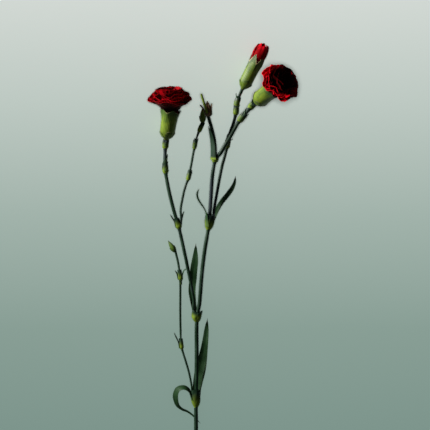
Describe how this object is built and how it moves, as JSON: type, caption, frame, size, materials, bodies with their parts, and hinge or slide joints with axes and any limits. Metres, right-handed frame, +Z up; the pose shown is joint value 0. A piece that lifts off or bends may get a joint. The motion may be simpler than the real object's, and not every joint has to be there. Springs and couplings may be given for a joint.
{
  "type": "carnation spray",
  "caption": "Cut spray of dark red carnations lying flat: one thin branching stem with narrow leaves, open ruffled flowers, red and green buds, and a withered head.",
  "frame": {"origin": "middle of the bottom of the spray as it lies, on the surface it lies on", "axes": "+Y from the cut end along the stem towards the flowers, +X towards the side of the red bud, +Z up from the surface"},
  "size_m": [0.1398, 0.3848, 0.0704],
  "materials": {
    "stem": "smooth waxy blue-green stem with a matt bloom",
    "leaf": "matt blue-green leaf with fine lengthwise veins",
    "calyx": "satin yellow-green calyx, finely ribbed",
    "withered": "dry papery brown calyx",
    "petal": "velvety dark red petal with a toothed edge"
  },
  "bodies": {
    "root": {"main_stem": "stem", "left_flower_stalk": "stem", "green_bud_stalk": "stem", "red_bud_stalk": "stem", "right_flower_stalk": "stem", "lower_twig": "stem", "lower_leaf": "leaf", "curled_leaf": "leaf", "middle_leaf": "leaf", "upper_leaf": "leaf", "thin_leaf": "leaf", "clasping_leaf": "leaf", "fork_bract_left": "leaf", "fork_bract_right": "leaf", "twig_bract_lower": "leaf", "twig_bract_left": "leaf", "twig_bract_right": "leaf", "left_stalk_sheath": "leaf", "right_stalk_sheath": "leaf", "red_bud_sheath": "leaf", "green_bud_sheath": "leaf", "left_scale_bracts": "calyx", "left_calyx": "calyx", "left_outer_petal_1": "petal", "left_outer_petal_2": "petal", "left_outer_petal_3": "petal", "left_outer_petal_4": "petal", "left_outer_petal_5": "petal", "left_middle_petal_1": "petal", "left_middle_petal_2": "petal", "left_middle_petal_3": "petal", "left_middle_petal_4": "petal", "left_inner_petal_1": "petal", "left_inner_petal_2": "petal", "left_inner_petal_3": "petal", "right_scale_bracts": "calyx", "right_calyx": "calyx", "right_outer_petal_1": "petal", "right_outer_petal_2": "petal", "right_outer_petal_3": "petal", "right_outer_petal_4": "petal", "right_outer_petal_5": "petal", "right_middle_petal_1": "petal", "right_middle_petal_2": "petal", "right_middle_petal_3": "petal", "right_middle_petal_4": "petal", "right_inner_petal_1": "petal", "right_inner_petal_2": "petal", "right_inner_petal_3": "petal", "bud_scale_bracts": "calyx", "bud_calyx": "calyx", "bud_outer_petal_1": "petal", "bud_outer_petal_2": "petal", "bud_outer_petal_3": "petal", "green_bud": "calyx", "twig_bud": "calyx", "withered_calyx": "withered", "snipped_stalk": "stem"}
  },
  "joints": []
}
